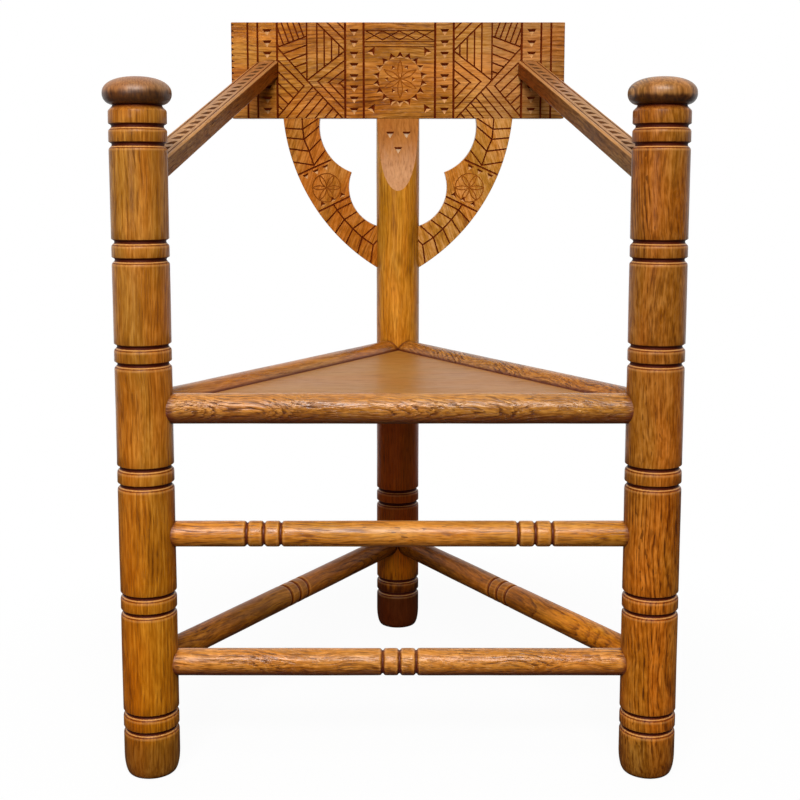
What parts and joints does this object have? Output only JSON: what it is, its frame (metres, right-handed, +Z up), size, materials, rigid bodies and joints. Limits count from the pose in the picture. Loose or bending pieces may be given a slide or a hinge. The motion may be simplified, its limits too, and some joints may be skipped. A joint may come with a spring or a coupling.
{
  "type": "three-legged armchair",
  "caption": "Oak armchair on a triangular plan: turned ring-grooved posts, panel seat, rising arms and a chip-carved crest board on curved brackets, to sit on.",
  "frame": {"origin": "middle of the chair's footprint box on the floor", "axes": "+Z up, the front faces -Y, +X to the right as seen from the front; left and right in the names are as seen from the front"},
  "size_m": [0.6356, 0.5538, 0.8872],
  "materials": {
    "post_oak": "golden brown stained oak, satin varnish, grain along the post",
    "rail_oak": "golden brown stained oak, satin varnish, worn and darkened along the front",
    "seat_oak": "paler worn oak, dull varnish, grain from side to side",
    "carved_oak": "golden oak, satin varnish, dark stain in the carved lines",
    "arm_oak": "brown handled oak, dark stain in the carved nicks",
    "knob_oak": "dark brown handled oak, polished by use",
    "peg_oak": "bare oak end grain"
  },
  "bodies": {
    "root": {"front_left_post": "post_oak", "front_right_post": "post_oak", "rear_post": "post_oak", "left_knob": "knob_oak", "right_knob": "knob_oak", "front_seat_rail": "rail_oak", "left_seat_rail": "rail_oak", "right_seat_rail": "rail_oak", "seat_panel": "seat_oak", "upper_front_stretcher": "rail_oak", "lower_front_stretcher": "rail_oak", "left_side_stretcher": "rail_oak", "right_side_stretcher": "rail_oak", "left_arm": "arm_oak", "right_arm": "arm_oak", "crest_board": "carved_oak", "left_bracket": "carved_oak", "right_bracket": "carved_oak", "crest_peg_upper": "peg_oak", "crest_peg_lower": "peg_oak", "left_bracket_dowel_outer": "peg_oak", "left_bracket_dowel_inner": "peg_oak", "right_bracket_dowel_outer": "peg_oak", "right_bracket_dowel_inner": "peg_oak"}
  },
  "joints": []
}
